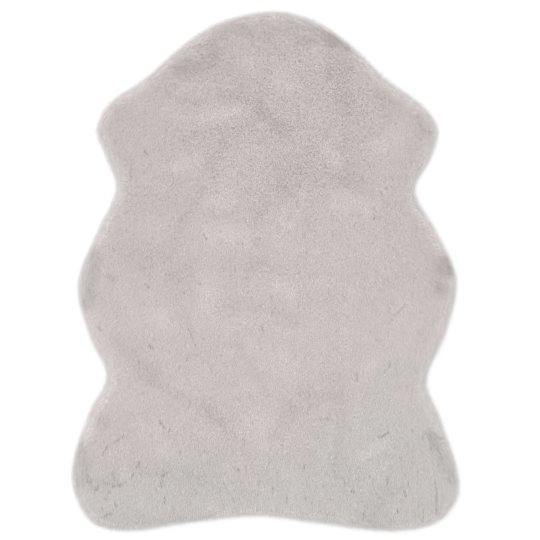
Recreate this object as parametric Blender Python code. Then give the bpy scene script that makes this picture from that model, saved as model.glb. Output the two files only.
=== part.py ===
"""Faux fur rug: one cut panel of short dense pile on a knitted ground, lying flat.

The panel is a low slab. Its edge runs from a round crown over two ears, two pairs of drawn-in
waists and two flanks down to a pair of feet. The pile fans out at the edge, and brushed hollows
and furrows cross the top. +Z is up, +Y points to the crown, and the origin lies under the middle
of the rug's bounding box.
"""
import math
from collections import namedtuple

import bmesh
import bpy
import numpy as np

MM = 0.001

# Driving dimensions, in metres
RUG_LENGTH = 0.800
RUG_WIDTH = 0.596
PILE_TOP = 0.0175         # mean height of the fur above the floor
RIM_REACH = 0.015         # how far in from the edge the fur starts to round over
RIM_WIDEST = 0.0055       # height at which the fur reaches out furthest
RIM_UNDERCUT = 0.007      # how far the cut edge of the ground lies inside that reach

# Mesh sizes
GRID_STEPS = 52           # cells across the brushed top, each way
CURVE_STEPS = 40          # points on the edge curve between two of its rows
RIM_STEPS = 4             # bands from the top round to the widest reach
UNDER_STEPS = 2           # bands from the widest reach down to the floor

# The cut edge from crown to hem, in mm from the middle of the rug: each row is one bend of the
# edge, how far up and how far out it lies on the left side and on the right.
EdgeRow = namedtuple("EdgeRow", "bend left_up left_out right_up right_out")
EDGE = [
    EdgeRow("crown_side", 384, 67, 384, 80),
    EdgeRow("brow", 346, 129, 345, 137),
    EdgeRow("temple", 297, 184, 297, 187),
    EdgeRow("above_ear", 259, 239, 251, 248),
    EdgeRow("ear", 219, 260, 217, 268),
    EdgeRow("below_ear", 183, 248, 173, 256),
    EdgeRow("waist", 129, 229, 124, 232),
    EdgeRow("above_flank", 62, 258, 62, 265),
    EdgeRow("flank", -22, 289, -14, 297),
    EdgeRow("below_flank", -104, 269, -98, 279),
    EdgeRow("low_waist", -163, 244, -171, 250),
    EdgeRow("above_foot", -221, 272, -234, 274),
    EdgeRow("foot", -316, 298, -336, 301),
    EdgeRow("toe", -385, 271, -386, 270),
    EdgeRow("sole", -401, 217, -401, 196),
    EdgeRow("arch", -388, 115, -388, 78),
]
CROWN = (13, 400)         # highest point of the edge
HEM = (-8, -378)          # middle of the hollow bottom edge

# Wide soft waves of the pile: wavelength and height in mm, heading and phase in degrees
WaveRow = namedtuple("WaveRow", "wavelength height heading phase")
WAVES = [
    WaveRow(150, 0.45, 20, 40),
    WaveRow(118, 0.40, 105, 200),
    WaveRow(83, 0.35, 62, 310),
    WaveRow(64, 0.25, 148, 95),
]

# Brushed hollows and furrows, in mm: a soft trough from one end to the other
TroughRow = namedtuple("TroughRow", "place x0 y0 x1 y1 half_width depth")
TROUGHS = [
    TroughRow("crown_left", -131, 308, -70, 322, 20, 2.0),
    TroughRow("crown_right", 82, 364, 126, 338, 16, 1.8),
    TroughRow("brow_right", 106, 318, 122, 250, 20, 1.5),
    TroughRow("swirl_upper", -96, 262, -36, 268, 14, 1.2),
    TroughRow("swirl_lower", -36, 268, 30, 214, 15, 1.8),
    TroughRow("swirl_inner", -122, 194, -24, 220, 13, 1.1),
    TroughRow("chest", 32, 142, -14, 78, 24, 1.6),
    TroughRow("chest_right", 118, 204, 172, 130, 22, 1.7),
    TroughRow("long_furrow_upper", -62, 196, -96, 118, 12, 1.3),
    TroughRow("long_furrow_lower", -96, 118, -146, 28, 13, 1.4),
    TroughRow("belly_upper", -66, 4, 54, 8, 14, 1.2),
    TroughRow("belly_left", -78, -58, -16, -48, 11, 1.0),
    TroughRow("belly_right", -16, -48, 62, -82, 11, 1.3),
    TroughRow("side_furrow", -118, -8, -106, -112, 13, 1.2),
    TroughRow("flank_left", -266, 0, -262, -52, 18, 1.6),
    TroughRow("flank_right", 268, 22, 270, -30, 16, 1.9),
    TroughRow("hip_outer", -226, -108, -168, -160, 18, 1.4),
    TroughRow("hip_inner", -168, -160, -82, -222, 17, 1.8),
    TroughRow("tail_left", 12, -252, 62, -188, 13, 1.4),
    TroughRow("tail_top", 62, -188, 116, -170, 14, 1.3),
    TroughRow("tail_right", 116, -170, 122, -322, 12, 1.2),
    TroughRow("foot_right", 262, -246, 276, -318, 15, 1.8),
    TroughRow("toe_right", 222, -308, 158, -372, 17, 1.5),
    TroughRow("foot_left", -262, -300, -226, -330, 20, 1.5),
    TroughRow("shin_left", -208, -316, -88, -308, 18, 1.2),
]

FUR_COLOUR = (0.57, 0.52, 0.51, 1.0)
FUR_ROUGHNESS = 0.95


def clear_scene():
    for leftover in list(bpy.data.objects):
        bpy.data.objects.remove(leftover, do_unlink=True)


def edge_bends():
    """The bends of the edge in order, from the crown clockwise and back, in metres."""
    right = [(row.right_out, row.right_up) for row in EDGE]
    left = [(-row.left_out, row.left_up) for row in reversed(EDGE)]
    return np.array([CROWN] + right + [HEM] + left) * MM


def smooth_closed_curve(bends):
    """A closed curve through the bends: a cubic between each two of them, whose slope at a bend
    is that of the line between its neighbours."""
    ahead = np.roll(bends, -1, axis=0)
    behind = np.roll(bends, 1, axis=0)
    span_ahead = np.linalg.norm(ahead - bends, axis=1)
    span_behind = np.linalg.norm(bends - behind, axis=1)
    slope = (ahead - behind) / (span_ahead + span_behind)[:, None]
    t = (np.arange(CURVE_STEPS) / CURVE_STEPS)[None, :, None]
    p0, p1 = bends[:, None], ahead[:, None]
    m0 = (slope * span_ahead[:, None])[:, None]
    m1 = (np.roll(slope, -1, axis=0) * span_ahead[:, None])[:, None]
    curve = ((2 * t**3 - 3 * t**2 + 1) * p0 + (t**3 - 2 * t**2 + t) * m0
             + (3 * t**2 - 2 * t**3) * p1 + (t**3 - t**2) * m1)
    return curve.reshape(-1, 2)


def fitted_to_size(curve):
    """The curve stretched to the rug's length and width, with its box centred on the origin."""
    low, high = curve.min(axis=0), curve.max(axis=0)
    return (curve - (low + high) / 2) * np.array([RUG_WIDTH, RUG_LENGTH]) / (high - low)


def evenly_spaced(curve, count):
    """Count points at equal steps along a closed curve."""
    closed = np.vstack([curve, curve[:1]])
    length = np.concatenate([[0], np.cumsum(np.linalg.norm(np.diff(closed, axis=0), axis=1))])
    steps = np.arange(count) * length[-1] / count
    return np.column_stack([np.interp(steps, length, closed[:, axis]) for axis in (0, 1)])


def inward_normals(edge):
    """The unit vector that points into the rug at each point of a clockwise edge."""
    along = np.roll(edge, -1, axis=0) - np.roll(edge, 1, axis=0)
    along /= np.linalg.norm(along, axis=1)[:, None]
    return np.column_stack([along[:, 1], -along[:, 0]])


def pile_height(x, y):
    """Height of the brushed fur at a point: its mean height, plus waves, less the troughs."""
    height = PILE_TOP
    for wave in WAVES:
        heading = math.radians(wave.heading)
        travel = (x * math.cos(heading) + y * math.sin(heading)) / (wave.wavelength * MM)
        height += wave.height * MM * math.sin(2 * math.pi * travel + math.radians(wave.phase))
    for trough in TROUGHS:
        x0, y0, x1, y1 = (value * MM for value in (trough.x0, trough.y0, trough.x1, trough.y1))
        run_x, run_y = x1 - x0, y1 - y0
        along = ((x - x0) * run_x + (y - y0) * run_y) / (run_x**2 + run_y**2)
        along = min(1.0, max(0.0, along))
        away = math.hypot(x - x0 - along * run_x, y - y0 - along * run_y)
        height -= trough.depth * MM * math.exp(-(away / (trough.half_width * MM))**2)
    return height


def ring_and_turn(u, v):
    """Where a point of the square -1..1 lies on a disc: how far out, and how far clockwise from
    the crown (0 to 1). Each square ring of the grid becomes a round one."""
    if abs(u) >= abs(v):
        ring = u
        angle = math.pi / 4 * v / (u or 1)
    else:
        ring = v
        angle = math.pi / 2 - math.pi / 4 * u / v
    if ring < 0:
        angle += math.pi
    return abs(ring), (math.pi / 2 - angle) / (2 * math.pi) % 1.0


def rim_bands():
    """The rounded rim, band by band from the top to the floor: how far in from the widest reach,
    how much of the fur's height is left, and the height of the widest reach or what is below."""
    for step in range(1, RIM_STEPS + 1):
        turn = math.radians(90 * step / RIM_STEPS)
        yield RIM_REACH * (1 - math.sin(turn)), math.cos(turn), RIM_WIDEST
    for step in range(1, UNDER_STEPS + 1):
        turn = math.radians(90 * step / UNDER_STEPS)
        yield RIM_UNDERCUT * (1 - math.cos(turn)), 0.0, RIM_WIDEST * (1 - math.sin(turn))


def fur_mesh():
    """The panel: a square grid laid out in rings inside the rounded rim, then the rim drawn
    outward and under band by band, and one flat face beneath."""
    edge_count = 4 * GRID_STEPS
    edge = evenly_spaced(fitted_to_size(smooth_closed_curve(edge_bends())), edge_count)
    inward = inward_normals(edge)
    brow = edge + inward * RIM_REACH
    spots = np.arange(edge_count)

    bm = bmesh.new()
    bmesh.ops.create_grid(bm, x_segments=GRID_STEPS, y_segments=GRID_STEPS, size=1.0)
    spot_layer = bm.verts.layers.int.new("edge_spot")
    for vert in bm.verts:
        ring, turn = ring_and_turn(vert.co.x, vert.co.y)
        spot = turn * edge_count
        x = ring * np.interp(spot, spots, brow[:, 0], period=edge_count)
        y = ring * np.interp(spot, spots, brow[:, 1], period=edge_count)
        vert.co = (x, y, pile_height(x, y))
        vert[spot_layer] = round(spot) % edge_count

    for inset, height_left, base_height in rim_bands():
        rim = [side for side in bm.edges if side.is_boundary]
        grown = bmesh.ops.extrude_edge_only(bm, edges=rim)["geom"]
        for vert in [item for item in grown if isinstance(item, bmesh.types.BMVert)]:
            spot = vert[spot_layer]
            x, y = edge[spot] + inward[spot] * inset
            fur_above = pile_height(x, y) - base_height
            vert.co = (x, y, base_height + height_left * fur_above)

    bmesh.ops.edgeloop_fill(bm, edges=[side for side in bm.edges if side.is_boundary])
    bmesh.ops.recalc_face_normals(bm, faces=bm.faces)
    mesh = bpy.data.meshes.new("fur_panel")
    bm.to_mesh(mesh)
    bm.free()
    mesh.shade_smooth()
    mesh.set_sharp_from_angle(angle=math.radians(40))
    return mesh


def fur_material():
    material = bpy.data.materials.new("fur")
    material.use_nodes = True
    shader = material.node_tree.nodes["Principled BSDF"]
    shader.inputs["Base Color"].default_value = FUR_COLOUR
    shader.inputs["Roughness"].default_value = FUR_ROUGHNESS
    shader.inputs["Metallic"].default_value = 0.0
    return material


def build_rug():
    clear_scene()
    collection = bpy.data.collections.new("faux_fur_rug")
    bpy.context.scene.collection.children.link(collection)
    panel = bpy.data.objects.new("fur_panel", fur_mesh())
    panel.data.materials.append(fur_material())
    collection.objects.link(panel)


build_rug()
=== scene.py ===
import math

import bpy
import numpy as np
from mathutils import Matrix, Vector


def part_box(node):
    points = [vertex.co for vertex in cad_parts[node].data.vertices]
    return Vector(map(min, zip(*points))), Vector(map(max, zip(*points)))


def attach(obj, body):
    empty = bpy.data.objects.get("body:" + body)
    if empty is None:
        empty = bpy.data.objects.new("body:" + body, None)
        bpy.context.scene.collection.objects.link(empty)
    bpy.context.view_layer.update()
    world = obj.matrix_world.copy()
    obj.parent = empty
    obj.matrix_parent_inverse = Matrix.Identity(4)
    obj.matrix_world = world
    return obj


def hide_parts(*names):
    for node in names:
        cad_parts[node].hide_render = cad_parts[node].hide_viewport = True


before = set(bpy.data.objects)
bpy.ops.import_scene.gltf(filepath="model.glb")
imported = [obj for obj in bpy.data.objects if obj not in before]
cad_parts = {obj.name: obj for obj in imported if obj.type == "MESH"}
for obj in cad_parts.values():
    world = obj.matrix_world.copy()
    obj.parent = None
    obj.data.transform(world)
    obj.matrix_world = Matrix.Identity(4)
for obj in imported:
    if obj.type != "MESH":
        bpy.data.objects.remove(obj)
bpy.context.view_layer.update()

# A faux fur rug lying flat: a knitted ground under a dense lumpy undercoat, the tips of its
# brushed pile as closed spikes that lean with the nap, and fine loose fibres round its rim.
# Metres, +Z up, +Y towards the crown.
panelNode = "fur_panel"
boxLow, boxHigh = (np.array(corner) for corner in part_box(panelNode))
millimetre = 0.001
print("frame loaded, panel", (boxHigh - boxLow).round(4))


fieldValues = {
    "widest": 0.0055,        # height at which the panel reaches out furthest
    "edgePoints": 1664,
    "lattice": 0.002,        # pitch of the maps below
    "margin": 0.02,          # how far the maps run past the panel
    "topInset": 0.0145,      # the panel's top starts this far in from its edge
    "topBlur": 0.008,        # how far the height at one corner of the panel spreads
}


# The places of a CAD node's corners, each once.
def cadPoints(name):
    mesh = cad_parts[name].data
    places = np.empty(len(mesh.vertices) * 3, np.float32)
    mesh.vertices.foreach_get("co", places)
    return np.unique(places.reshape(-1, 3).round(6), axis=0).astype(float)


# A closed loop of evenly spaced points as a sum of its own waves, read at more points.
def smoothLoop(points, count):
    waves = np.fft.fft(points[:, 0] + 1j * points[:, 1])
    half = len(points) // 2
    padded = np.zeros(count, complex)
    padded[:half] = waves[:half]
    padded[-half:] = waves[-half:]
    loop = np.fft.ifft(padded) * count / len(points)
    return np.column_stack([loop.real, loop.imag])


# The panel's edge at its widest height, clockwise from the crown.
def edgeLoop(count):
    points = cadPoints(panelNode)
    rim = points[np.abs(points[:, 2] - fieldValues["widest"]) < 1e-4][:, :2]
    turn = np.arctan2(rim[:, 0], rim[:, 1]) % (2 * math.pi)
    return smoothLoop(rim[np.argsort(turn)], count)


def latticeAxes():
    margin, pitch = fieldValues["margin"], fieldValues["lattice"]
    return [np.arange(low - margin, high + margin + pitch, pitch)
            for low, high in zip(boxLow[:2], boxHigh[:2])]


# A map read at any places, straight between its four nearest values.
def fieldAt(field, x, y):
    i = np.clip((x - latticeX[0]) / fieldValues["lattice"], 0, len(latticeX) - 1.001)
    j = np.clip((y - latticeY[0]) / fieldValues["lattice"], 0, len(latticeY) - 1.001)
    i0, j0 = i.astype(int), j.astype(int)
    fi, fj = i - i0, j - j0
    return ((field[i0, j0] * (1 - fi) + field[i0 + 1, j0] * fi) * (1 - fj)
            + (field[i0, j0 + 1] * (1 - fi) + field[i0 + 1, j0 + 1] * fi) * fj)


# How far in from the edge each lattice point lies, less than 0 outside: the distance to the
# nearest point of the edge, with the sign of the edge's radius in that direction less its own.
def insideDistance():
    x, y = np.meshgrid(latticeX, latticeY, indexing="ij")
    places = np.column_stack([x.ravel(), y.ravel()]).astype(np.float32)
    rim = edge.astype(np.float32)
    nearest = np.concatenate([((part[:, None] - rim[None]) ** 2).sum(2).min(1)
                              for part in np.array_split(places, 8)])
    rimTurn = np.arctan2(edge[:, 0], edge[:, 1])
    order = np.argsort(rimTurn)
    reach = np.interp(np.arctan2(places[:, 0], places[:, 1]), rimTurn[order],
                      np.linalg.norm(edge, axis=1)[order], period=2 * math.pi)
    side = np.sign(reach - np.linalg.norm(places, axis=1))
    return (np.sqrt(nearest) * side).reshape(x.shape)


# A map smoothed by a bell of this reach, worked out on its waves.
def blurred(values, reach):
    kx = np.fft.fftfreq(values.shape[0], fieldValues["lattice"])
    ky = np.fft.fftfreq(values.shape[1], fieldValues["lattice"])
    bell = np.exp(-2 * (math.pi * reach) ** 2 * (kx[:, None] ** 2 + ky[None] ** 2))
    return np.fft.ifft2(np.fft.fft2(values) * bell).real


# The panel's top over the lattice: the heights of its corners away from the rim, each spread
# as a bell, divided by the spread of their number.
def topHeights():
    points = cadPoints(panelNode)
    inner = points[(points[:, 2] > fieldValues["widest"] * 1.5)
                   & (fieldAt(inset, points[:, 0], points[:, 1]) > fieldValues["topInset"])]
    i = ((inner[:, 0] - latticeX[0]) / fieldValues["lattice"]).round().astype(int)
    j = ((inner[:, 1] - latticeY[0]) / fieldValues["lattice"]).round().astype(int)
    total, number = np.zeros(inset.shape), np.zeros(inset.shape)
    mean = inner[:, 2].mean()
    np.add.at(total, (i, j), inner[:, 2] - mean)
    np.add.at(number, (i, j), 1.0)
    reach = fieldValues["topBlur"]
    return mean + blurred(total, reach) / (blurred(number, reach) + 1e-4)


# Smooth random values from -1 to 1: random numbers on a lattice of this size, eased between
# neighbours.
def softNoise(x, y, size, seed):
    numbers = np.random.default_rng(seed).uniform(-1, 1, (257, 257))
    i, j = x / size + 128, y / size + 128
    i0, j0 = np.floor(i).astype(int), np.floor(j).astype(int)
    fi, fj = i - i0, j - j0
    fi, fj = fi * fi * (3 - 2 * fi), fj * fj * (3 - 2 * fj)
    i0, j0 = i0 % 256, j0 % 256
    return ((numbers[i0, j0] * (1 - fi) + numbers[i0 + 1, j0] * fi) * (1 - fj)
            + (numbers[i0, j0 + 1] * (1 - fi) + numbers[i0 + 1, j0 + 1] * fi) * fj)


edge = edgeLoop(fieldValues["edgePoints"])
latticeX, latticeY = latticeAxes()
inset = insideDistance()
top = topHeights()
outX, outY = (-slope for slope in np.gradient(blurred(inset, 0.003), fieldValues["lattice"]))
print("fields ready", inset.shape, "top", round(top.min(), 4), round(top.max(), 4))


# Where the pile was pressed or brushed against its nap: a soft streak between two places, its
# half width, all in millimetres, and how far it darkens (below 0) or lightens the fur as painted
# shade or painted light; the same strength also sets how far it ruffles the pile.
brushMarks = [
    ("crownBroad", -60, 350, 60, 350, 70, -0.22),
    ("bellyBroad", -60, -20, 120, -20, 120, 0.05),
    ("hemBroad", -200, -330, 200, -330, 110, -0.14),
    ("ribsBroad", -150, 100, 150, 100, 70, 0.09),
    ("hipsBroad", -150, -160, 160, -160, 80, -0.10),
    ("crownLeft", -134, 308, -104, 311, 9, -2.1),
    ("crownLeftInner", -86, 316, -80, 330, 9, -1.3),
    ("crownLeftBroad", -120, 312, -75, 318, 20, -0.4),
    ("crownRimLeft", -84, 346, -80, 343, 7, -2.0),
    ("crownRimLeftUpper", -72, 360, -46, 373, 8, -0.9),
    ("crownTopLeft", -34, 372, -26, 364, 7, -1.6),
    ("crownMiddle", 5, 372, 4, 356, 8, -0.5),
    ("crownTopRight", 38, 378, 44, 370, 8, -0.9),
    ("crownRight", 96, 356, 101, 351, 8, -3.0),
    ("crownRightRim", 110, 350, 122, 342, 7, -1.3),
    ("crownRightUpper", 72, 370, 84, 366, 7, -0.6),
    ("crownRightInner", 50, 353, 78, 354, 6, -1.05),
    ("browRightEdge", 98, 322, 98, 300, 7, -1.05),
    ("browRight", 116, 316, 122, 250, 15, -0.85),
    ("browRightRim", 148, 272, 178, 264, 8, -0.1),
    ("browRightRimLow", 184, 264, 192, 258, 8, -0.3),
    ("browRightFoot", 128, 243, 150, 240, 7, -0.4),
    ("browLeft", -65, 272, -10, 258, 9, -0.7),
    ("browMiddle", -8, 243, -2, 241, 9, -1.7),
    ("browMiddleRight", 14, 225, 30, 214, 11, -1.2),
    ("browMiddleLeft", -36, 234, -22, 228, 9, -0.4),
    ("browLower", -120, 208, -25, 221, 9, -0.25),
    ("templeLeft", -224, 242, -214, 236, 13, -0.5),
    ("templeLeftInner", -170, 282, -150, 290, 14, -0.35),
    ("templeRight", 237, 232, 243, 214, 9, -0.6),
    ("furrowLeftUpper", -62, 196, -90, 152, 11, -0.5),
    ("furrowLeftLower", -100, 122, -148, 34, 12, -0.4),
    ("swirlRight", 125, 195, 128, 160, 18, -0.4),
    ("swirlRightLow", 120, 137, 142, 136, 13, -0.5),
    ("swirlRightTail", 128, 140, 190, 100, 10, -0.05),
    ("chest", 26, 130, 34, 124, 12, -1.05),
    ("chestUpper", 20, 155, 60, 150, 16, -0.5),
    ("chestLower", -3, 100, -15, 80, 11, -0.55),
    ("chestBroad", 60, 170, 90, 130, 35, -0.25),
    ("neckLeft", -205, 178, -110, 200, 10, -0.1),
    ("neckLeftLower", -200, 100, -150, 98, 15, -0.3),
    ("ribLeft", -85, 86, -45, 87, 7, -0.3),
    ("ribRight", 65, 65, 70, 60, 15, -0.3),
    ("neckRight", 183, 97, 187, 95, 6, -0.2),
    ("ribMiddle", -16, 46, -13, 44, 6, -0.6),
    ("waistLeft", -260, 26, -273, -50, 11, -0.9),
    ("waistLeftSpot", -238, -8, -232, -12, 6, -1.0),
    ("waistLeftInner", -195, 25, -130, 0, 28, -0.45),
    ("waistLeftTail", -145, -10, -112, -95, 10, -0.3),
    ("waistRight", 272, 13, 278, 0, 10, -1.55),
    ("waistRightLower", 266, -26, 272, -28, 8, -1.3),
    ("waistRightBroad", 262, 0, 262, -25, 16, -0.3),
    ("bellyUpper", -60, 5, -5, 8, 18, -0.5),
    ("bellyUpperTail", 22, 2, 65, 0, 12, -0.1),
    ("bellyMiddle", -70, -57, -10, -53, 12, -0.4),
    ("bellyMiddleTail", 14, -60, 45, -78, 11, -0.4),
    ("bellyLower", -115, -125, -45, -110, 8, -0.3),
    ("bellyLowerTail", -40, -112, 5, -190, 8, -0.35),
    ("flankLeftUpper", -225, -105, -180, -160, 16, -0.6),
    ("flankLeftMiddle", -172, -168, -118, -195, 9, -0.5),
    ("flankLeftLower", -94, -208, -74, -224, 13, -0.8),
    ("flankLeftTail", -66, -236, -50, -255, 11, -0.15),
    ("flankRight", 215, -155, 232, -152, 14, -0.1),
    ("flankRightInner", 150, -110, 190, -75, 10, -0.1),
    ("hipArchLeft", 10, -250, 44, -212, 10, -0.5),
    ("hipArchTop", 66, -192, 112, -187, 13, -0.6),
    ("hipArchUpper", 78, -160, 120, -165, 12, -0.15),
    ("hipArchRight", 118, -206, 108, -310, 10, -0.35),
    ("hipArchInner", 78, -215, 66, -345, 12, -0.15),
    ("thighLeft", -252, -232, -246, -230, 10, -0.6),
    ("footRightRim", 252, -250, 260, -263, 8, -0.95),
    ("footRightRimLow", 265, -274, 284, -318, 10, -0.65),
    ("footRightInner", 208, -312, 152, -372, 15, -0.25),
    ("footRightHem", 146, -384, 190, -388, 10, -0.3),
    ("footLeftRim", -280, -272, -283, -322, 12, -0.65),
    ("footLeftInner", -262, -325, -235, -320, 12, -0.6),
    ("footLeftBroad", -190, -305, -90, -315, 18, -0.3),
    ("hemLeft", -240, -378, -90, -378, 12, -0.3),
    ("crownLight", 22, 302, 36, 286, 15, 0.75),
    ("crownLightLeft", -30, 322, -20, 318, 14, 0.7),
    ("crownLightRight", 76, 338, 88, 322, 11, 0.8),
    ("browLight", -95, 237, -38, 246, 11, 0.8),
    ("browLightLeft", -122, 284, -104, 280, 12, 0.3),
    ("browLightOuter", -152, 248, -122, 236, 12, 0.3),
    ("swirlLight", 93, 192, 110, 168, 10, 0.7),
    ("swirlLightLower", 110, 112, 155, 100, 15, 0.6),
    ("shoulderLight", 178, 195, 205, 214, 20, 0.6),
    ("neckLight", -135, 160, -110, 168, 12, 0.75),
    ("ribLight", -85, 56, -35, 55, 17, 0.7),
    ("ribLightUpper", -72, 110, -60, 112, 17, 0.4),
    ("ribLightRight", 28, 82, 34, 76, 16, 0.4),
    ("waistLight", -172, -62, -156, -76, 15, 0.4),
    ("waistLightInner", -90, -25, -86, -50, 14, 0.5),
    ("bellyLight", 18, -20, 42, -30, 10, 0.6),
    ("hipLight", -18, -235, -8, -245, 22, 0.4),
    ("hipLightRight", 42, -162, 28, -136, 15, 0.4),
    ("thighLightLeft", -180, -240, -152, -274, 16, 0.3),
    ("thighLightRight", 150, -162, 166, -132, 14, 0.5),
    ("footLightRight", 152, -280, 180, -262, 11, 0.75),
]

# Short partings where the pile opens down to its roots: from one place to another, half width
# and depth, in millimetres and as a share.
partings = [
    (-187, 185, -181, 177, 1.2, 0.5),
    (-206, 167, -206, 140, 1.4, 0.4),
    (74, 374, 80, 371, 1.5, 1.1),
    (92, 360, 99, 355, 1.7, 1.3),
    (232, 236, 236, 231, 1.4, 0.6),
    (238, 219, 254, 213, 1.4, 0.6),
    (214, -52, 190, -79, 1.0, 0.3),
    (-257, -86, -252, -91, 1.4, 0.5),
    (-180, -113, -174, -119, 1.4, 0.5),
    (-118, -88, -107, -116, 1.0, 0.25),
    (-7, -86, -3, -91, 1.4, 0.5),
    (-184, -20, -179, -25, 1.4, 0.5),
    (-163, -232, -154, -242, 1.0, 0.8),
    (-147, -243, -148, -250, 1.0, 0.8),
    (-231, -264, -217, -253, 1.0, 0.8),
    (-250, -283, -243, -270, 1.0, 0.6),
    (-199, -304, -193, -294, 1.0, 0.8),
    (-205, -317, -203, -308, 1.0, 0.7),
    (-158, -315, -150, -309, 0.9, 0.5),
    (-159, -329, -158, -315, 1.2, 1.4),
    (-155, -355, -154, -348, 1.1, 1.0),
    (-243, -326, -236, -330, 0.9, 0.6),
    (-236, -330, -222, -329, 0.9, 0.5),
    (-222, -329, -213, -323, 0.9, 0.5),
    (-245, -349, -241, -341, 1.1, 1.1),
    (-261, -339, -261, -333, 1.1, 0.9),
    (-257, -336, -258, -331, 1.0, 0.8),
    (-273, -323, -273, -314, 1.1, 0.9),
    (-267, -327, -269, -322, 1.0, 0.8),
    (-231, -357, -228, -363, 1.1, 0.9),
    (-235, -376, -235, -368, 1.1, 1.0),
    (-246, -376, -239, -374, 1.0, 0.8),
    (-251, -367, -250, -365, 1.1, 0.8),
    (-107, -341, -107, -337, 1.0, 0.7),
    (-30, -301, -30, -306, 1.2, 0.5),
    (-42, -303, -42, -308, 1.2, 0.35),
    (-70, -333, -70, -338, 1.1, 0.5),
    (-64, -359, -64, -364, 1.2, 0.4),
    (12, -332, 12, -338, 1.2, 0.4),
    (33, -345, 33, -350, 1.2, 0.4),
    (59, -298, 59, -304, 1.2, 0.4),
    (84, -228, 103, -228, 1.0, 0.35),
    (140, -157, 140, -169, 1.4, 0.7),
    (190, -140, 190, -147, 1.4, 0.5),
    (-81, 42, -35, 42, 0.8, 0.3),
    (-95, 56, -90, 48, 1.3, 0.6),
    (173, -255, 182, -253, 1.0, 0.7),
    (182, -253, 188, -248, 1.0, 0.7),
    (185, -317, 187, -325, 1.1, 1.1),
    (213, -339, 215, -346, 1.1, 1.1),
    (260, -325, 263, -343, 0.9, 0.7),
    (262, -347, 262, -350, 1.2, 1.1),
    (262, -353, 262, -374, 0.9, 0.6),
    (282, -322, 283, -324, 1.3, 0.9),
    (202, -366, 204, -370, 1.1, 1.0),
    (242, -365, 242, -386, 0.8, 0.35),
    (160, -315, 161, -317, 1.1, 0.8),
    (132, -338, 136, -339, 1.0, 0.8),
    (150, -374, 152, -376, 1.4, 0.7),
    (252, -260, 254, -274, 0.9, 0.7),
    (261, -251, 262, -253, 1.2, 0.8),
    (268, -256, 270, -257, 1.3, 0.8),
    (262, -273, 269, -281, 0.9, 0.7),
    (208, -331, 209, -333, 1.1, 0.7),
    (219, -326, 219, -328, 1.1, 0.7),
    (-69, 367, -68, 362, 1.5, 1.6),
    (-88, 356, -91, 350, 1.3, 1.6),
    (-86, 346, -80, 343, 1.6, 1.7),
    (-120, 343, -98, 343, 0.8, 0.4),
    (-28, 367, -26, 362, 1.5, 1.2),
    (4, 358, 6, 353, 1.5, 1.1),
    (20, 330, 28, 332, 1.3, 1.5),
    (-37, 287, -34, 283, 1.4, 1.4),
    (-105, 259, -103, 255, 1.1, 0.8),
    (-154, 275, -153, 273, 1.2, 0.8),
    (-96, 205, -95, 203, 1.3, 0.8),
    (-12, 184, -10, 181, 1.1, 0.8),
    (-22, 170, -21, 168, 1.1, 0.6),
    (45, 277, 47, 274, 1.3, 1.3),
    (-118, 301, -117, 300, 1.2, 0.7),
    (-60, 263, -36, 263, 0.8, 0.35),
    (-132, 259, -115, 259, 0.8, 0.35),
]


# Each place's distance from the stretch between two points, and the way there from its line.
def fromStretch(x, y, x0, y0, x1, y1):
    along = np.array([x1 - x0, y1 - y0], float)
    share = ((x - x0) * along[0] + (y - y0) * along[1]) / (along @ along)
    share = share.clip(0, 1)
    apartX, apartY = x - x0 - share * along[0], y - y0 - share * along[1]
    return np.hypot(apartX, apartY), apartX, apartY


# How much painted shade (below 0) or painted light the brush marks give each place, which also sets
# their ruffle: the sum of their bells across distance.
def brushShade(x, y):
    x, y = x / millimetre, y / millimetre
    shade = np.zeros(len(x))
    for _, x0, y0, x1, y1, halfWidth, strength in brushMarks:
        apart, _, _ = fromStretch(x, y, x0, y0, x1, y1)
        shade += strength * np.exp(-(apart / halfWidth) ** 2)
    return shade


tintValues = {
    "turnsAt": -0.27,        # Y of the line where rosy fur turns to stone
    "climbsFrom": 0.02,      # from this X on the line climbs by the slope
    "slope": 0.7,
    "span": 0.06,
    "patches": 0.8,          # how far soft patches shift the turn, in spans
    "patchSize": 0.03,
    "least": 0.03,           # share of stone in the rosy fur
    "rim": 0.6,              # and what it gains at the rim
    "rimReach": 0.006,
    "steps": 3,
}


# How far the fur's tint is from rosy (0) to stone (1): how far a place lies past the line, in
# spans, moved by soft noise and kept from 0 to 1.
def stoneShare(x, y):
    values = tintValues
    line = values["turnsAt"] + values["slope"] * (x - values["climbsFrom"]).clip(0, None)
    patches = values["patches"] * softNoise(x, y, values["patchSize"], 21)
    past = ((line - y) / values["span"] + patches).clip(0, 1)
    return values["least"] + (1 - values["least"]) * past


# How far the pile is parted at each place, and the way its tips are pushed from the line.
def partingPush(x, y, reach):
    x, y = x / millimetre, y / millimetre
    depth, push = np.zeros(len(x)), np.zeros((len(x), 2))
    for x0, y0, x1, y1, halfWidth, strength in partings:
        apart, apartX, apartY = fromStretch(x, y, x0, y0, x1, y1)
        depth += strength * np.exp(-(apart / halfWidth) ** 2)
        beside = strength * np.exp(-(apart / (reach * halfWidth)) ** 2) / (apart + 0.3)
        push += np.column_stack([apartX, apartY]) * beside[:, None]
    return depth, push


# A mesh from arrays: the places of its points, the corners of all faces in a row, and how many
# corners each face has.
def meshFrom(name, places, corners, sides):
    mesh = bpy.data.meshes.new(name)
    mesh.vertices.add(len(places))
    mesh.vertices.foreach_set("co", places.astype(np.float32).ravel())
    mesh.loops.add(len(corners))
    mesh.loops.foreach_set("vertex_index", corners.astype(np.int32))
    mesh.polygons.add(len(corners) // sides)
    mesh.polygons.foreach_set("loop_start", np.arange(0, len(corners), sides, dtype=np.int32))
    mesh.update(calc_edges=True)
    mesh.shade_smooth()
    return mesh


def addPiece(name, mesh, *materials):
    piece = bpy.data.objects.new(name, mesh)
    bpy.context.scene.collection.objects.link(piece)
    for material in materials:
        mesh.materials.append(material)
    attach(piece, "root")
    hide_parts(panelNode)
    return piece


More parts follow.
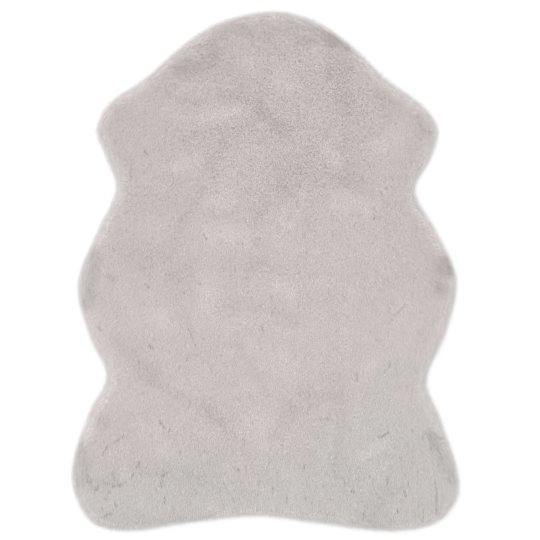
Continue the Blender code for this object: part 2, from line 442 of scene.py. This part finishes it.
# One shader node: its settings, and each input joined to a socket or given a value.
def addNode(tree, kind, inputs, **settings):
    node = tree.nodes.new("ShaderNode" + kind)
    for name, value in settings.items():
        setattr(node, name, value)
    for name, value in inputs.items():
        if isinstance(value, bpy.types.NodeSocket):
            tree.links.new(value, node.inputs[name])
        else:
            node.inputs[name].default_value = value
    return node


# A blend of two colours, or one multiplied into the other, by a factor.
def mixColours(tree, factor, first, second, blend="MIX"):
    mix = addNode(tree, "Mix", {"Factor": factor, 6: first, 7: second},
                  data_type="RGBA", blend_type=blend)
    return mix.outputs[2]


def newGroup(name, inputs, outputs):
    group = bpy.data.node_groups.new(name, "ShaderNodeTree")
    for label, (kind, value) in inputs.items():
        socket = group.interface.new_socket(label, in_out="INPUT", socket_type="NodeSocket" + kind)
        socket.default_value = value
    for label, kind in outputs.items():
        group.interface.new_socket(label, in_out="OUTPUT", socket_type="NodeSocket" + kind)
    return group, group.nodes.new("NodeGroupInput").outputs, group.nodes.new("NodeGroupOutput")


# Fibre colour: along U from the shaded root to the tip, and up V in four bands of tint from
# rosy to stone, each band running from a dark tone to a light one.
def fibreColourGroup():
    group, given, out = newGroup(
        "fibreColour",
        {"Rosy": ("Color", (0.6, 0.55, 0.53, 1)), "Stone": ("Color", (0.58, 0.55, 0.53, 1)),
         "Root Shade": ("Float", 0.6), "Tone Spread": ("Float", 1.0)},
        {"Color": "Color"})
    place = addNode(group, "SeparateXYZ", {0: addNode(group, "UVMap", {}, uv_map="OFBake").outputs[0]})
    bands = addNode(group, "Math", {0: place.outputs["Y"], 1: 4.0}, operation="MULTIPLY").outputs[0]
    band = addNode(group, "Math", {0: bands}, operation="FLOOR").outputs[0]
    tint = addNode(group, "Math", {0: band, 1: 3.0}, operation="DIVIDE").outputs[0]
    tone = addNode(group, "Math", {0: bands}, operation="FRACT").outputs[0]
    centred = addNode(group, "Math", {0: tone, 1: 0.5}, operation="SUBTRACT").outputs[0]
    factor = addNode(group, "Math", {0: centred, 1: given["Tone Spread"], 2: 1.0},
                     operation="MULTIPLY_ADD").outputs[0]
    shade = addNode(group, "MapRange", {"Value": place.outputs["X"], "From Min": 0.0, "From Max": 0.4,
                                        "To Min": given["Root Shade"], "To Max": 1.0},
                    interpolation_type="SMOOTHSTEP").outputs[0]
    tinted = mixColours(group, tint, given["Rosy"], given["Stone"])
    toned = mixColours(group, 1.0, tinted, factor, "MULTIPLY")
    group.links.new(mixColours(group, 1.0, toned, shade, "MULTIPLY"), out.inputs["Color"])
    return group


# Felted grain: noise on the object's own places, as a colour between two and as a height.
def feltedGrainGroup():
    group, given, out = newGroup(
        "feltedGrain",
        {"Scale": ("Float", 400.0), "Dark": ("Color", (0.4, 0.4, 0.4, 1)),
         "Light": ("Color", (0.6, 0.6, 0.6, 1))},
        {"Color": "Color", "Height": "Float"})
    coords = addNode(group, "TexCoord", {})
    noise = addNode(group, "TexNoise", {"Vector": coords.outputs["Object"], "Scale": given["Scale"],
                                        "Detail": 3.0, "Roughness": 0.6})
    group.links.new(mixColours(group, noise.outputs["Fac"], given["Dark"], given["Light"]),
                    out.inputs["Color"])
    group.links.new(noise.outputs["Fac"], out.inputs["Height"])
    return group


# Fine fibres combed along the nap: noise drawn out along Y, so many to a metre across and
# along, and set wandering by a broader noise; as a colour between two and as a height.
def combedFibresGroup():
    group, given, out = newGroup(
        "combedFibres",
        {"Across": ("Float", 2400.0), "Along": ("Float", 300.0), "Wander": ("Float", 0.0015),
         "Dark": ("Color", (0.4, 0.4, 0.4, 1)), "Light": ("Color", (0.6, 0.6, 0.6, 1))},
        {"Color": "Color", "Height": "Float"})
    coords = addNode(group, "TexCoord", {})
    drift = addNode(group, "TexNoise", {"Vector": coords.outputs["Object"], "Scale": 140.0})
    offset = addNode(group, "VectorMath", {0: drift.outputs["Color"], "Scale": given["Wander"]},
                     operation="SCALE").outputs[0]
    place = addNode(group, "VectorMath", {0: coords.outputs["Object"], 1: offset}, operation="ADD")
    counts = addNode(group, "CombineXYZ", {"X": given["Across"], "Y": given["Along"],
                                           "Z": given["Across"]}).outputs[0]
    drawn = addNode(group, "VectorMath", {0: place.outputs[0], 1: counts}, operation="MULTIPLY")
    noise = addNode(group, "TexNoise", {"Vector": drawn.outputs[0], "Scale": 1.0, "Detail": 4.0,
                                        "Roughness": 0.7})
    fibre = addNode(group, "MapRange", {"Value": noise.outputs["Fac"], "From Min": 0.25,
                                        "From Max": 0.70}, interpolation_type="SMOOTHSTEP")
    group.links.new(mixColours(group, fibre.outputs[0], given["Dark"], given["Light"]),
                    out.inputs["Color"])
    group.links.new(fibre.outputs[0], out.inputs["Height"])
    return group


fibreColour = fibreColourGroup()
feltedGrain = feltedGrainGroup()
combedFibres = combedFibresGroup()


def newMaterial(name, roughness):
    material = bpy.data.materials.new(name)
    material.use_nodes = True
    tree = material.node_tree
    shader = tree.nodes["Principled BSDF"]
    shader.inputs["Roughness"].default_value = roughness
    shader.inputs["Specular IOR Level"].default_value = 0.0
    return material, tree, shader


pileFinish = {
    "roughness": 0.9,
    "rosy": (0.679, 0.6155, 0.6015, 1),
    "stone": (0.659, 0.6200, 0.5980, 1),
    "rootShade": 0.70,
    "glow": 0.35,            # share of the light that passes through a strand
    "glowReach": (0.0012, 0.00112, 0.00108),
    "sheen": 0.60,
    "sheenRoughness": 0.5,
}


def fibreMaterial(name, finish):
    material, tree, shader = newMaterial(name, finish["roughness"])
    colour = addNode(tree, "Group", {}, node_tree=fibreColour)
    colour.inputs["Rosy"].default_value = finish["rosy"]
    colour.inputs["Stone"].default_value = finish["stone"]
    colour.inputs["Root Shade"].default_value = finish["rootShade"]
    tree.links.new(colour.outputs["Color"], shader.inputs["Base Color"])
    shader.inputs["Subsurface Weight"].default_value = finish["glow"]
    shader.inputs["Subsurface Radius"].default_value = finish["glowReach"]
    shader.inputs["Subsurface Scale"].default_value = 1.0
    shader.inputs["Sheen Weight"].default_value = finish["sheen"]
    shader.inputs["Sheen Roughness"].default_value = finish["sheenRoughness"]
    return material


# The rim's fine fibres are coloured lighter than the pile, with barely shaded roots: painted light, for
# light coming through the thin fibres.
rimFinish = {
    "roughness": 0.9,
    "rosy": (0.760, 0.725, 0.715, 1),
    "stone": (0.755, 0.735, 0.720, 1),
    "rootShade": 0.9,
    "glow": 0.0,
    "glowReach": (0.0012, 0.00112, 0.00108),
    "sheen": 0.15,
    "sheenRoughness": 0.5,
}

undercoatFinish = {
    "dark": (0.46, 0.419, 0.411, 1),
    "light": (0.59, 0.539, 0.529, 1),
    "across": 1500.0,        # fibres to a metre
    "along": 380.0,
    "wander": 0.004,
    "bump": 0.0006,
    "stoneCast": (0.961, 1.017, 0.998, 1),   # over the rosy colours, where the fur is stone
    "markPaintedShadeAndLight": 0.055,       # how far a full brush mark changes it, as painted shade or painted light
}

groundFinish = {
    "dark": (0.46, 0.42, 0.41, 1),
    "light": (0.58, 0.54, 0.53, 1),
    "scale": 900.0,
    "wales": 170.0,          # knitted ribs, in Blender's wave scale
    "bump": 0.0004,
}


def undercoatMaterial():
    finish = undercoatFinish
    material, tree, shader = newMaterial("undercoat", 0.95)
    grain = addNode(tree, "Group", {}, node_tree=combedFibres)
    grain.inputs["Across"].default_value = finish["across"]
    grain.inputs["Along"].default_value = finish["along"]
    grain.inputs["Wander"].default_value = finish["wander"]
    grain.inputs["Dark"].default_value = finish["dark"]
    grain.inputs["Light"].default_value = finish["light"]
    stone = addNode(tree, "Attribute", {}, attribute_name="stoneShare")
    # brushed: the brush marks' painted shade and painted light, as a factor on the colour
    brushed = addNode(tree, "Attribute", {}, attribute_name="brushed")
    cast = mixColours(tree, stone.outputs["Fac"], (1, 1, 1, 1), finish["stoneCast"])
    tinted = mixColours(tree, 1.0, grain.outputs["Color"], cast, "MULTIPLY")
    marked = mixColours(tree, 1.0, tinted, brushed.outputs["Fac"], "MULTIPLY")
    tree.links.new(marked, shader.inputs["Base Color"])
    bump = addNode(tree, "Bump", {"Height": grain.outputs["Height"], "Distance": finish["bump"],
                                  "Strength": 0.8})
    tree.links.new(bump.outputs["Normal"], shader.inputs["Normal"])
    return material


def groundMaterial():
    finish = groundFinish
    material, tree, shader = newMaterial("knittedGround", 0.9)
    grain = addNode(tree, "Group", {}, node_tree=feltedGrain)
    grain.inputs["Scale"].default_value = finish["scale"]
    grain.inputs["Dark"].default_value = finish["dark"]
    grain.inputs["Light"].default_value = finish["light"]
    coords = addNode(tree, "TexCoord", {})
    ribs = addNode(tree, "TexWave", {"Vector": coords.outputs["Object"], "Scale": finish["wales"],
                                     "Distortion": 1.0}, bands_direction="X")
    rib = mixColours(tree, 0.5, grain.outputs["Color"], ribs.outputs["Color"], "SOFT_LIGHT")
    tree.links.new(rib, shader.inputs["Base Color"])
    bump = addNode(tree, "Bump", {"Height": ribs.outputs["Fac"], "Distance": finish["bump"],
                                  "Strength": 0.6})
    tree.links.new(bump.outputs["Normal"], shader.inputs["Normal"])
    return material


undercoatValues = {
    "cells": 110,            # cells across the grid, each way
    "below": 0.0035,         # how far it lies under the tips of the pile
    "rimIn": 0.0055,         # how far in from the panel's edge its own rim lies
    "rimReach": 0.013,       # how far in from that rim the fur starts to round over
    "rimBands": 9,
    "undercut": 0.006,
    "underBands": 4,
}


# A square grid laid out as rings: for each point how far out it lies (0 to 1) and how far
# round, clockwise from the crown (0 to 1).
def discGrid(cells):
    side = np.linspace(-1, 1, cells + 1)
    u, v = np.meshgrid(side, side, indexing="ij")
    wide = np.abs(u) >= np.abs(v)
    ring = np.where(wide, u, v)
    safe = np.where(ring == 0, 1, ring)
    angle = np.where(wide, math.pi / 4 * v / safe, math.pi / 2 - math.pi / 4 * u / safe)
    angle = angle + math.pi * (ring < 0)
    return np.abs(ring), (0.25 - angle / (2 * math.pi)) % 1.0


def insetLoop(loop, distance):
    along = np.roll(loop, -1, axis=0) - np.roll(loop, 1, axis=0)
    along /= np.linalg.norm(along, axis=1)[:, None]
    return loop + distance * np.column_stack([along[:, 1], -along[:, 0]])


# Points a share of the way round a loop.
def onLoop(loop, turn):
    steps = np.arange(len(loop)) / len(loop)
    return np.stack([np.interp(turn, steps, loop[:, axis], period=1.0) for axis in (0, 1)], -1)


# The dense body of the fur: rings under the brushed top, then a quarter of an ellipse round
# the rim and another under it, and the flat knitted ground beneath.
def undercoat():
    values = undercoatValues
    cells, below = values["cells"], values["below"]
    ring, turn = discGrid(cells)
    loop = insetLoop(edge, values["rimIn"])
    brow = insetLoop(loop, values["rimReach"])
    xy = ring[..., None] * onLoop(brow, turn)
    heights = fieldAt(top, xy[..., 0], xy[..., 1]) - below
    index = np.arange((cells + 1) ** 2).reshape(cells + 1, cells + 1)
    places = [np.dstack([xy, heights]).reshape(-1, 3)]
    quads = [np.stack([index[:-1, :-1], index[1:, :-1], index[1:, 1:], index[:-1, 1:]], -1)
             .reshape(-1, 4)]
    outer = np.concatenate([index[0, :-1], index[:-1, -1], index[-1, :0:-1], index[:0:-1, 0]])
    outer = outer[np.argsort(turn.ravel()[outer])]
    turns = turn.ravel()[outer]
    last, count = outer, len(outer)
    widest = fieldValues["widest"]
    lean = np.linspace(0, math.pi / 2, values["rimBands"] + 1)[1:]
    under = np.linspace(0, math.pi / 2, values["underBands"] + 1)[1:]
    bands = [(values["rimReach"] * (1 - math.sin(a)), math.cos(a), widest) for a in lean]
    bands += [(values["undercut"] * (1 - math.cos(a)), 0.0, widest * (1 - math.sin(a)))
              for a in under]
    start = len(places[0])
    for distance, share, base in bands:
        line = onLoop(insetLoop(loop, distance), turns)
        height = base + share * (fieldAt(top, line[:, 0], line[:, 1]) - below - base)
        places.append(np.column_stack([line, height]))
        now = start + np.arange(count)
        quads.append(np.stack([last, np.roll(last, -1), np.roll(now, -1), now], -1))
        last = now
        start += count
    furFaces = sum(len(part) for part in quads)
    low = ring[..., None] * onLoop(insetLoop(loop, values["undercut"]), turn)
    places.append(np.dstack([low, np.zeros_like(ring)]).reshape(-1, 3))
    lower = index + start
    lower.ravel()[outer] = last          # the ground's rim is the last band
    quads.append(np.stack([lower[:-1, :-1], lower[:-1, 1:], lower[1:, 1:], lower[1:, :-1]], -1)
                 .reshape(-1, 4))
    places, quads = np.vstack(places), np.vstack(quads)
    used, quads = np.unique(quads, return_inverse=True)
    places, quads = places[used], quads.reshape(-1, 4)
    mesh = meshFrom("furUndercoat", places, quads.ravel(), 4)
    piece = addPiece("furUndercoat", mesh, undercoatMaterial(), groundMaterial())
    mesh.polygons.foreach_set("material_index", (np.arange(len(quads)) >= furFaces).astype(np.int32))
    x, y = places[:, 0], places[:, 1]
    # the brush marks' painted shade and painted light, kept as a factor on the undercoat's colour
    brushed = (1 + undercoatFinish["markPaintedShadeAndLight"] * brushShade(x, y)).clip(0.4, 1.3)
    for label, share in (("stoneShare", stoneShare(x, y)), ("brushed", brushed)):
        layer = mesh.attributes.new(label, "FLOAT", "POINT")
        layer.data.foreach_set("value", share.astype(np.float32))
    return piece, places, quads[:furFaces]


body, bodyPlaces, bodyQuads = undercoat()
print("undercoat", len(bodyPlaces), "points", len(bodyQuads), "fur faces")


# Places spread evenly by area, or more thickly where the weight of a face is more, over quads,
# with the surface's normal there.
def scatter(places, quads, count, seed, weigh=None):
    triangles = np.vstack([quads[:, [0, 1, 2]], quads[:, [0, 2, 3]]])
    a, b, c = (places[triangles[:, k]] for k in range(3))
    cross = np.cross(b - a, c - a)
    normals = np.zeros_like(places)
    for k in range(3):
        np.add.at(normals, triangles[:, k], cross)
    normals = unit(normals)
    sizes = np.linalg.norm(cross, axis=1) / 2
    if weigh:
        sizes = sizes * weigh(unit(cross))
    sums = np.cumsum(sizes)
    rng = np.random.default_rng(seed)
    picks = np.searchsorted(sums, (np.arange(count) + rng.uniform(0, 1, count)) / count * sums[-1])
    picks = picks.clip(0, len(triangles) - 1)
    r = np.sqrt(rng.uniform(0, 1, count))
    s = rng.uniform(0, 1, count)
    weights = np.stack([1 - r, r * (1 - s), r * s], -1)
    found = (places[triangles[picks]] * weights[:, :, None]).sum(1)
    turned = (normals[triangles[picks]] * weights[:, :, None]).sum(1)
    return found, unit(turned)


# The roots of a kind of strand over the body of the fur, clear of the floor.
def rootsOf(values, weigh=None):
    root, normal = scatter(bodyPlaces, bodyQuads, values["strands"], values["seed"], weigh)
    keep = root[:, 2] > 0.0008
    return root[keep], normal[keep]


# The middle of the tuft each point belongs to, the nearest of one random point in each cell of
# a lattice; a random number for that tuft; how far off it is and how much further the next one.
def tuftCentres(points, size, seed):
    cell = np.floor(points / size).astype(np.int64)
    best, second = np.full(len(points), np.inf), np.full(len(points), np.inf)
    centre, mark = np.zeros_like(points), np.zeros(len(points))
    for step in np.ndindex(3, 3, 3):
        near = cell + np.array(step) - 1
        code = (near * np.array([73856093, 19349663, 83492791])).sum(1) + seed * 7919
        spots = []
        for turn in range(4):
            code = (code ^ (code >> 13)) * 1274126177 & 0x7FFFFFFF
            spots.append(code / 0x7FFFFFFF)
        middle = (near + np.stack(spots[:3], -1)) * size
        apart = np.linalg.norm((points - middle) / size, axis=1)
        second = np.minimum(second, np.maximum(apart, best))
        closer = apart < best
        best[closer] = apart[closer]
        centre[closer] = middle[closer]
        mark[closer] = spots[3][closer]
    return centre, mark, best, second - best


def unit(vectors):
    return vectors / (np.linalg.norm(vectors, axis=1)[:, None] + 1e-12)


def between(pair, share):
    return pair[0] + (pair[1] - pair[0]) * share


pileValues = {
    "pieces": ("pileCrown", "pileShoulders", "pileBelly", "pileHips", "pileFeet"),
    "strands": 190000,
    "seed": 7,
    "length": 0.0056,        # from the undercoat to the tip
    "lengthSpread": 0.12,
    "sunk": 0.0010,          # root below the undercoat
    "thickness": 0.00062,    # radius at the root
    "rimThickness": 0.5,     # share of it left where the fur turns down at the rim
    "lean": (1.05, 0.40),    # towards the hem, where the pile is smooth and where it is ruffled
    "stray": (0.12, 0.24),
    "shear": (0.72, 0.86),   # height that the pile is sheared to, as a share of its length
    "gather": (0.10, 0.45),  # how far tips draw to the middle of their tuft
    "napSwing": (0.30, 0.22),    # how far the nap swings sideways, broadly and finely
    "napPush": 0.2,          # and how far it slackens and quickens
    "fan": 0.7,              # how far it turns outwards at the rim
    "fanReach": 0.03,
    "ruffleStart": -0.12,    # the ruffle grows from here towards the crown
    "ruffleSpan": 0.40,
    "ruffle": (0.10, 0.75),  # where it starts, and its growth over the span
    "ruffleMost": 1.25,
    "ruffleWander": (0.15, 0.10),
    "toneNoise": (0.072, 0.130),
    "toneSkew": 0.42,        # how much further the dark strands stray in tone than the light
    "tuftTone": (0.018, 0.085),
    "tuft": (0.0036, 0.0058),
    "round": 0.35,           # how far the shading turns round a strand
    "gapWidth": 0.12,        # share of a tuft's size where its edge is short and given painted shade
    "gapPaintedShade": (0.06, 0.25),
    "shorter": 0.2,          # how much shorter strands are in gaps, specks, partings and at the rim
    "speckEvery": 2.8,       # pitch of specks, low tufts darkened with painted shade, in tufts
    "speckShare": 0.8,
    "speckSize": 0.18,
    "speckEven": 0.35,       # share of a speck's depth that is alike for all
    "speckPaintedShade": (0.32, 0.66),
    "wanderTone": (0.008, 0.018),
    "markPaintedShadeAndLight": 0.14,        # how far a full brush mark changes the tone, as painted shade or painted light
    "markRuffle": 0.30,      # and the ruffle
    # painted shade where the pile stands ruffled, deeper and more open
    "rufflePaintedShade": 0.13,
    # painted shade on strands in the partings, where the pile opens to its roots
    "partingPaintedShade": 0.75,
    "partingDepth": 1.9,
    "partingPush": 0.10,
    "partingReach": 2.2,     # how far tips are pushed, in half widths of the parting
    "rimPaintedLight": 0.43,         # painted light: how much lighter the fur's colour is made at its rim, for light coming through it
    "rimPaintedLightLeast": 0.15,    # share of it left in the darkest brush marks
    "rimPaintedLightReach": 0.0085,
}


# How ruffled the pile is, from 0, lying smooth, to 1, standing in tufts, and past it at the
# crown: a rise along Y, less the brush marks' shade, and two soft noises.
def ruffled(x, y, shade):
    values = pileValues
    least, growth = values["ruffle"]
    broad, fine = values["ruffleWander"]
    rise = ((y - values["ruffleStart"]) / values["ruffleSpan"]).clip(0, values["ruffleMost"])
    wander = broad * softNoise(x, y, 0.045, 31) + fine * softNoise(x, y, 0.018, 32)
    return (least + growth * rise - values["markRuffle"] * shade + wander).clip(0, values["ruffleMost"])


# The tint band of each strand, 0 rosy to 3 stone, picked at random around a share that grows
# towards the hem and the rim.
def tintBands(x, y, rng):
    values = tintValues
    share = stoneShare(x, y)
    share += values["rim"] * np.exp(-(fieldAt(inset, x, y) / values["rimReach"]).clip(0, 9))
    return np.floor(share * values["steps"] + rng.uniform(0, 1, len(x))).clip(0, values["steps"])


# Closed spikes of three sides and a base, joined as pieces from the crown to the hem: their
# base corners and tips, a normal for each corner, and their place on the colour chart.
def spikePieces(names, root, tip, radius, shading, tone, band, material, rng):
    count = len(root)
    axis = unit(tip - root)
    side = unit(np.cross(axis, rng.normal(0, 1, (count, 3))))
    other = np.cross(axis, side)
    turns = 2 * math.pi * np.arange(3) / 3
    spokes = [side * math.cos(turn) + other * math.sin(turn) for turn in turns]
    corners = np.stack([root + spoke * radius[:, None] for spoke in spokes] + [tip], 1)
    corners[..., 2] = np.maximum(corners[..., 2], 0.0001)
    soft, bend = shading
    normals = np.stack([unit(spoke * bend + soft) for spoke in spokes]
                       + [unit(axis * 0.3 + soft)], 1)
    faces = np.array([[0, 1, 3], [1, 2, 3], [2, 0, 3], [2, 1, 0]])
    chartU = np.tile([0.02, 0.02, 0.98], 4)
    chartU[-1] = 0.05                    # the base keeps to the root's end of the chart
    chartV = np.tile([-0.004, 0.004, 0.0], 4)
    v = (band + tone.clip(0.03, 0.97)) / 4
    order = np.argsort(root[:, 1])[::-1]
    pieces = []
    for name, part in zip(names, np.array_split(order, len(names))):
        ids = (np.arange(len(part))[:, None, None] * 4 + faces[None]).ravel()
        mesh = meshFrom(name, corners[part].reshape(-1, 3), ids, 3)
        chart = np.stack([np.tile(chartU, len(part)), (v[part][:, None] + chartV).ravel()], -1)
        layer = mesh.uv_layers.new(name="OFBake")
        layer.uv.foreach_set("vector", chart.astype(np.float32).ravel())
        mesh.normals_split_custom_set_from_vertices(normals[part].reshape(-1, 3))
        pieces.append(addPiece(name, mesh, material))
        print(name, len(part), "strands")
    return pieces


# The brushed pile: from each root a strand along the normal, leaning with the nap, strayed and
# drawn to the middle of its tuft; short and darkened with painted shade between tufts, in low
# tufts and in partings, with painted shade where it is ruffled and painted light at its rim.
def pile():
    values = pileValues
    rng = np.random.default_rng(values["seed"])
    root, normal = rootsOf(values)
    count = len(root)
    x, y = root[:, 0], root[:, 1]
    flat = normal[:, 2].clip(0, 1)
    shade = brushShade(x, y)
    ruffle = ruffled(x, y, shade)
    loose = ruffle * flat ** 2           # the pile keeps combed where it turns down at the rim
    tuftSize = np.array([values["tuft"][0], values["tuft"][1], values["tuft"][0]])
    centre, mark, _, within = tuftCentres(root, tuftSize, values["seed"])
    fan = values["fan"] * np.exp(-(fieldAt(inset, x, y) / values["fanReach"]).clip(0, 9))
    broad, fine = values["napSwing"]
    swing = broad * softNoise(x, y, 0.08, 3) + fine * softNoise(x, y, 0.016, 5)
    nap = np.stack([swing + fan * fieldAt(outX, x, y),
                    -1 + values["napPush"] * softNoise(x, y, 0.11, 4) + fan * fieldAt(outY, x, y),
                    np.zeros(count)], -1)
    lean = (between(values["lean"], ruffle) * flat)[:, None]
    stray = rng.normal(0, 1, (count, 3)).clip(-1.5, 1.5) * between(values["stray"], loose)[:, None]
    straight = unit(normal + nap * lean)
    direction = unit(straight + stray)
    seen = root + straight * values["length"] * 0.55
    _, chance, apart, _ = tuftCentres(seen, tuftSize * values["speckEvery"], values["seed"] + 1)
    speck = (chance / values["speckShare"]) * (chance < values["speckShare"])
    even = values["speckEven"]
    speck = (even * np.ceil(speck) + (1 - even) * speck) * np.exp(-(apart / values["speckSize"]) ** 2)
    reach = values["partingReach"]
    _, push = partingPush(seen[:, 0], seen[:, 1], reach)
    parted = np.mean([partingPush(*(root + straight * values["length"] * share)[:, :2].T, reach)[0]
                      for share in (0.2, 0.45, 0.7, 0.95)], 0)
    parted = (parted * values["partingDepth"]).clip(0, 1)
    gap = np.exp(-(within / values["gapWidth"]) ** 2)
    spread, shorter = values["lengthSpread"], values["shorter"]
    length = values["length"] * (1 + spread * rng.normal(0, 1, count).clip(-2, 1)
                                 + spread * (mark - 0.5))
    turnedDown = 1 - flat
    for less in (gap, speck, parted, turnedDown):
        length *= 1 - shorter * less
    tip = root + direction * length[:, None]
    pull = centre + straight * length[:, None] - tip
    pull -= (pull * normal).sum(1)[:, None] * normal
    gather = between(values["gather"], loose) * rng.uniform(0.4, 1.0, count) * flat
    tip += pull * gather[:, None]
    tip[:, :2] += push * values["partingPush"] * length[:, None]
    rise = ((tip - root) * normal).sum(1)
    shorn = between(values["shear"], loose) * values["length"]
    tip -= normal * (rise - shorn).clip(0, None)[:, None]
    start = root - normal * values["sunk"]
    radius = values["thickness"] * rng.uniform(0.75, 1.25, count)
    radius *= 1 - (1 - values["rimThickness"]) * (turnedDown * 1.5).clip(0, 1)
    soft = unit(normal + 0.2 * unit(tip - start) + np.array([0, 0, 1.2]) * turnedDown[:, None])
    noise = rng.normal(0, 1, count).clip(-2.4, 1.8)
    noise *= 1 - values["toneSkew"] * np.sign(noise)
    tone = 0.5 + between(values["toneNoise"], ruffle) * noise
    tone += between(values["tuftTone"], ruffle) * (mark - 0.5)
    # the brush marks' painted shade and painted light, and painted shade where the pile is ruffled
    tone += values["markPaintedShadeAndLight"] * shade - values["rufflePaintedShade"] * ruffle
    wander = softNoise(x, y, 0.007, 41) + softNoise(x, y, 0.015, 42)
    tone += between(values["wanderTone"], ruffle) * wander
    # painted shade: strands darker between tufts, in low tufts and in partings
    tone -= between(values["gapPaintedShade"], ruffle) * gap
    tone -= between(values["speckPaintedShade"], ruffle) * speck + values["partingPaintedShade"] * parted
    # painted light: the pile's colour lighter near its rim, less so in dark brush marks
    fromRim = (fieldAt(inset, x, y) - undercoatValues["rimIn"]) / values["rimPaintedLightReach"]
    tone += values["rimPaintedLight"] * (1 + shade).clip(values["rimPaintedLightLeast"], 1) * np.exp(-fromRim ** 2)
    band = tintBands(x, y, rng)
    return spikePieces(values["pieces"], start, tip, radius, (soft, values["round"]), tone, band,
                       fibreMaterial("pileFibre", pileFinish), rng)


rimValues = {
    "pieces": ("rimFuzzCrown", "rimFuzzFeet"),
    "strands": 57000,
    "seed": 19,
    "length": 0.0084,
    "reachSpread": 0.18,
    "sunk": 0.0010,
    "thickness": 0.00016,
    "outwards": 0.8,         # how far they lean out from the rim
    "stray": 0.22,
    "lock": 0.0030,          # size of the locks that they draw together in
    "lockSwing": 0.05,
    "lockTone": 0.12,
    "markPaintedShadeAndLight": 0.14,
    "toneNoise": 0.06,
    "round": 0.2,
}


# Loose fine fibres where the fur turns over its rim: they reach out of the pile and past it.
def rimFuzz():
    values = rimValues
    rng = np.random.default_rng(values["seed"])
    root, normal = rootsOf(values, lambda facing: np.clip(0.9 - facing[:, 2], 0, 0.6))
    count = len(root)
    x, y = root[:, 0], root[:, 1]
    out = unit(np.stack([fieldAt(outX, x, y), fieldAt(outY, x, y), np.zeros(count)], -1))
    _, mark, _, _ = tuftCentres(root, values["lock"], values["seed"])
    swing = np.stack([np.sin(43 * mark), np.cos(57 * mark), np.sin(71 * mark)], -1)
    direction = unit(normal + values["outwards"] * out + values["lockSwing"] * swing
                     + values["stray"] * rng.normal(0, 1, (count, 3)))
    length = values["length"] * (1 + values["reachSpread"] * rng.normal(0, 1, count)).clip(0.3, 1.7)
    tip = root + direction * length[:, None]
    tip[:, 2] = np.maximum(tip[:, 2], 0.0004)
    start = root - normal * values["sunk"]
    radius = values["thickness"] * rng.uniform(0.7, 1.3, count)
    soft = unit(np.array([0, 0, 1.0]) + 0.35 * normal)
    tone = 0.5 + values["toneNoise"] * rng.normal(0, 1, count).clip(-2, 2)
    tone += values["lockTone"] * (mark - 0.5)
    # the brush marks' painted shade and painted light carry on over the rim
    tone += values["markPaintedShadeAndLight"] * brushShade(x, y)
    band = tintBands(x, y, rng)
    return spikePieces(values["pieces"], start, tip, radius, (soft, values["round"]), tone, band,
                       fibreMaterial("rimFibre", rimFinish), rng)


pilePieces = pile() + rimFuzz()


studioValues = {
    "cameraHeight": 1.75,
    "cameraX": 0.0069,
    "cameraY": 0.0019,
    "viewWidth": 0.8327,     # what the picture takes in at the rug's widest height
    "world": 0.6,
    "backdrop": 1.0,         # how bright it looks behind the floor
    "keyStrength": 104.0,
    "keySize": 2.6,
    "keyPlace": (-0.2, 0.2, 3.2),
    "floorColour": (0.60, 0.60, 0.60, 1),
    "floorGlow": (0.16, 0.68),   # under the key light, and far from it
    "floorSize": 30.0,
    "floorDrop": 0.0004,
}


# The floor glows a little more where the key light falls off, so it looks evenly lit: the
# far glow, less its rise over the near one times the light's fall (h^2 / (h^2 + r^2))^2.
def floorMaterial():
    near, far = studioValues["floorGlow"]
    height = studioValues["keyPlace"][2]
    material, tree, shader = newMaterial("floor", 0.9)
    shader.inputs["Base Color"].default_value = studioValues["floorColour"]
    shader.inputs["Emission Color"].default_value = (1, 1, 1, 1)
    place = addNode(tree, "TexCoord", {}).outputs["Object"]
    squared = addNode(tree, "VectorMath", {0: place, 1: place}, operation="DOT_PRODUCT")
    below = addNode(tree, "Math", {0: squared.outputs["Value"], 1: height ** 2}, operation="ADD")
    fall = addNode(tree, "Math", {0: height ** 2, 1: below.outputs[0]}, operation="DIVIDE")
    fallSquared = addNode(tree, "Math", {0: fall.outputs[0], 1: 2.0}, operation="POWER")
    glow = addNode(tree, "Math", {0: fallSquared.outputs[0], 1: near - far, 2: far},
                   operation="MULTIPLY_ADD")
    tree.links.new(glow.outputs[0], shader.inputs["Emission Strength"])
    return material


def studio():
    values = studioValues
    scene = bpy.context.scene
    cameraData = bpy.data.cameras.new("camera")
    camera = bpy.data.objects.new("camera", cameraData)
    scene.collection.objects.link(camera)
    camera.location = (values["cameraX"], values["cameraY"], values["cameraHeight"])
    cameraData.sensor_width = 36
    cameraData.lens = 36 * (values["cameraHeight"] - fieldValues["widest"]) / values["viewWidth"]
    cameraData.clip_end = 100
    scene.camera = camera

    size = values["floorSize"]
    corners = np.array([[-size, -size, 0], [size, -size, 0], [size, size, 0], [-size, size, 0]])
    corners[:, 2] -= values["floorDrop"]
    mesh = meshFrom("floor", corners, np.arange(4), 4)
    floor = bpy.data.objects.new("floor", mesh)
    scene.collection.objects.link(floor)
    mesh.materials.append(floorMaterial())

    world = bpy.data.worlds.new("studio")
    scene.world = world
    world.use_nodes = True
    back = world.node_tree.nodes["Background"]
    back.inputs["Color"].default_value = (1, 1, 1, 1)
    seenDirectly = addNode(world.node_tree, "LightPath", {}).outputs["Is Camera Ray"]
    strength = addNode(world.node_tree, "MapRange", {"Value": seenDirectly, "To Min": values["world"],
                                                     "To Max": values["backdrop"]})
    world.node_tree.links.new(strength.outputs[0], back.inputs["Strength"])

    light = bpy.data.lights.new("key", "AREA")
    light.shape = "DISK"
    light.size = values["keySize"]
    light.energy = values["keyStrength"]
    key = bpy.data.objects.new("key", light)
    scene.collection.objects.link(key)
    key.location = values["keyPlace"]
    tiltX = math.atan2(key.location.y, key.location.z)
    tiltY = math.atan2(-key.location.x, key.location.z)
    key.rotation_euler = (-tiltX, -tiltY, 0)
    key.visible_camera = False
    scene.view_settings.view_transform = "Standard"
    scene.cycles.filter_width = 1.0


studio()
print("studio ready")
